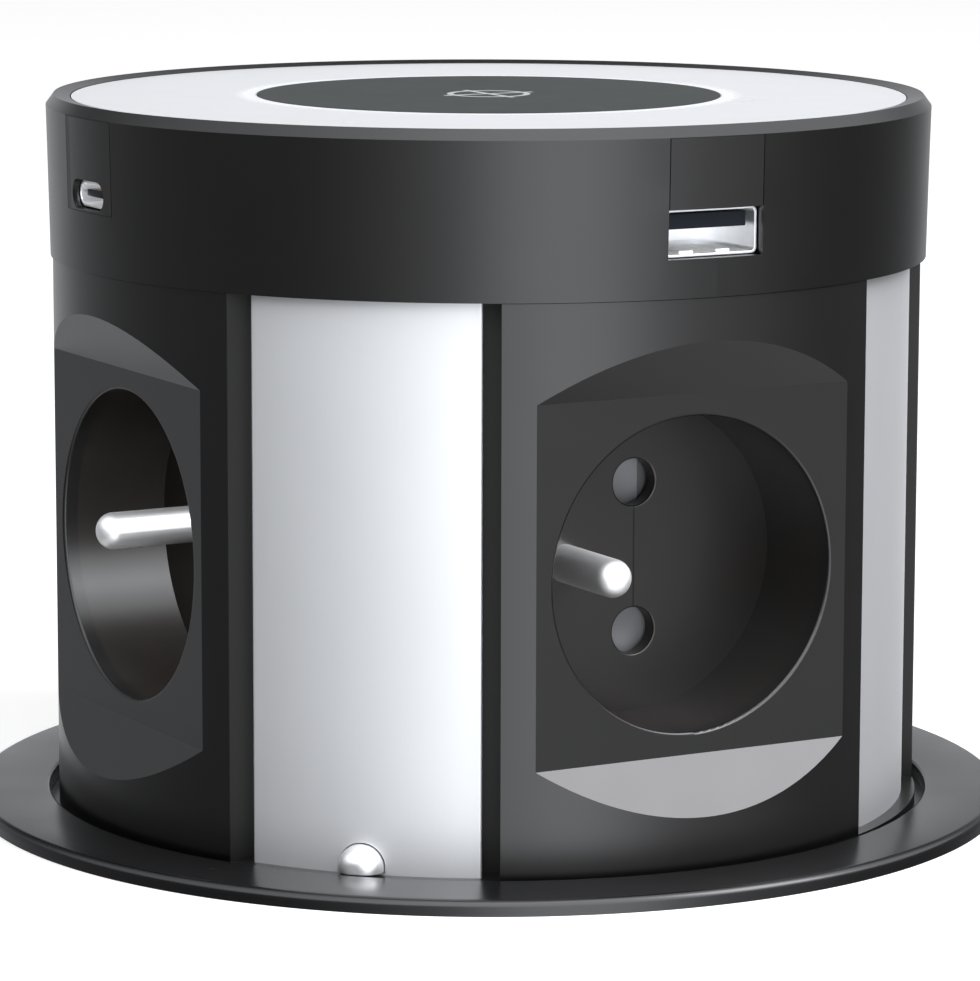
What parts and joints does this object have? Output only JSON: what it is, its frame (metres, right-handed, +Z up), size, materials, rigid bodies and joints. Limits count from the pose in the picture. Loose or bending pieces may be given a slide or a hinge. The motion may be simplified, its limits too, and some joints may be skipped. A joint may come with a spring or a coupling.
{
  "type": "pop up desk socket",
  "caption": "Round pop up power tower for a desk: recessed mains sockets with earth pins between silver strips, USB ports and a charging disc in the head, and a flat trim ring",
  "frame": {"origin": "on the tower's axis, in the plane of the desk top, which the trim ring's underside rests on", "axes": "+Z up along the tower, the way it rises; +X out of the socket under the USB-A port; -Y out of the socket under the USB-C port"},
  "size_m": [0.146, 0.146, 0.1996],
  "materials": {
    "trim_black": "satin moulded black, slightly glossy",
    "gasket_rubber": "soft foam rubber",
    "barrel_black": "moulded glass-filled nylon, matt",
    "zinc_steel": "bright zinc plate",
    "tower_black": "satin moulded black",
    "cup_black": "satin moulded black",
    "latch_nickel": "polished nickel plate",
    "spring_steel": "spring wire",
    "satin_aluminium": "fine satin anodised",
    "pin_nickel": "bright nickel plate",
    "block_grey": "moulded thermoset",
    "contact_brass": "rolled brass strip",
    "shutter_grey": "moulded grey",
    "port_steel": "folded tin-plated shell with a dark tongue",
    "board_green": "solder mask",
    "disc_white": "polished white acrylic",
    "light_white": "frosted light guide, lit",
    "pad_grey": "dark grey soft-touch pad",
    "coil_copper": "enamelled copper winding",
    "ferrite_grey": "sintered ferrite"
  },
  "bodies": {
    "housing": {"trim_ring": "trim_black", "desk_gasket": "gasket_rubber", "collar": "barrel_black"},
    "tower": {"tower_base": "tower_black", "latch_spring_front": "spring_steel", "latch_spring_back": "spring_steel", "pillar_back_right": "satin_aluminium", "pillar_back_left": "satin_aluminium", "pillar_front_left": "satin_aluminium", "pillar_front_right": "satin_aluminium", "panel_right": "tower_black", "cup_right": "cup_black", "earth_pin_right": "pin_nickel", "block_right": "block_grey", "contacts_right": "contact_brass", "shutter_spring_right": "spring_steel", "panel_back": "tower_black", "cup_back": "cup_black", "earth_pin_back": "pin_nickel", "block_back": "block_grey", "contacts_back": "contact_brass", "shutter_spring_back": "spring_steel", "panel_left": "tower_black", "cup_left": "cup_black", "earth_pin_left": "pin_nickel", "block_left": "block_grey", "contacts_left": "contact_brass", "shutter_spring_left": "spring_steel", "panel_front": "tower_black", "cup_front": "cup_black", "earth_pin_front": "pin_nickel", "block_front": "block_grey", "contacts_front": "contact_brass", "shutter_spring_front": "spring_steel", "bus_bars": "contact_brass", "core_tube": "block_grey", "cable_gland": "barrel_black", "gland_nut": "barrel_black", "head_deck": "tower_black", "pillar_screws": "zinc_steel", "head_shell": "tower_black", "usb_a_insert": "tower_black", "usb_c_insert": "tower_black", "usb_a_port": "port_steel", "usb_c_port": "port_steel", "usb_boards": "board_green", "charger_board": "board_green", "top_disc": "disc_white", "light_ring": "light_white", "charge_pad": "pad_grey", "charge_coil": "coil_copper", "ferrite": "ferrite_grey"},
    "latch_front": {"latch_front": "latch_nickel"},
    "latch_back": {"latch_back": "latch_nickel"},
    "shutter_right": {"shutter_right": "shutter_grey"},
    "shutter_back": {"shutter_back": "shutter_grey"},
    "shutter_left": {"shutter_left": "shutter_grey"},
    "shutter_front": {"shutter_front": "shutter_grey"},
    "clamp_washer": {"clamp_washer": "zinc_steel"},
    "ring_nut": {"ring_nut": "barrel_black"}
  },
  "joints": [
    {"name": "tower_slide", "type": "slide", "parent": "housing", "child": "tower", "axis": [0, 0, 1], "range_m": [-0.09, 0]},
    {"name": "latch_front_press", "type": "slide", "parent": "tower", "child": "latch_front", "axis": [-0.7071, 0.7071, 0], "range_m": [0, 0.00275], "stiffness_N_per_m": 600, "springref_m": -0.003, "deforming": ["latch_spring_front"]},
    {"name": "latch_back_press", "type": "slide", "parent": "tower", "child": "latch_back", "axis": [0.7071, -0.7071, 0], "range_m": [0, 0.00275], "stiffness_N_per_m": 600, "springref_m": -0.003, "deforming": ["latch_spring_back"]},
    {"name": "shutter_right_slide", "type": "slide", "parent": "tower", "child": "shutter_right", "axis": [0, 1, 0], "range_m": [0, 0.007], "stiffness_N_per_m": 150, "springref_m": -0.002, "deforming": ["shutter_spring_right"]},
    {"name": "shutter_back_slide", "type": "slide", "parent": "tower", "child": "shutter_back", "axis": [-1, 0, 0], "range_m": [0, 0.007], "stiffness_N_per_m": 150, "springref_m": -0.002, "deforming": ["shutter_spring_back"]},
    {"name": "shutter_left_slide", "type": "slide", "parent": "tower", "child": "shutter_left", "axis": [0, -1, 0], "range_m": [0, 0.007], "stiffness_N_per_m": 150, "springref_m": -0.002, "deforming": ["shutter_spring_left"]},
    {"name": "shutter_front_slide", "type": "slide", "parent": "tower", "child": "shutter_front", "axis": [1, 0, 0], "range_m": [0, 0.007], "stiffness_N_per_m": 150, "springref_m": -0.002, "deforming": ["shutter_spring_front"]},
    {"name": "washer_slide", "type": "slide", "parent": "housing", "child": "clamp_washer", "axis": [0, 0, 1], "range_m": [-0.015, 0.015]},
    {"name": "nut_turn", "type": "hinge", "parent": "clamp_washer", "child": "ring_nut", "pos_m": [0, 0, -0.0332], "axis": [0, 0, 1], "range_deg": [-1800, 1800]}
  ],
  "couplings": [
    {"joint": "washer_slide", "follows": "nut_turn", "m_per_rad": 0.00047746}
  ]
}
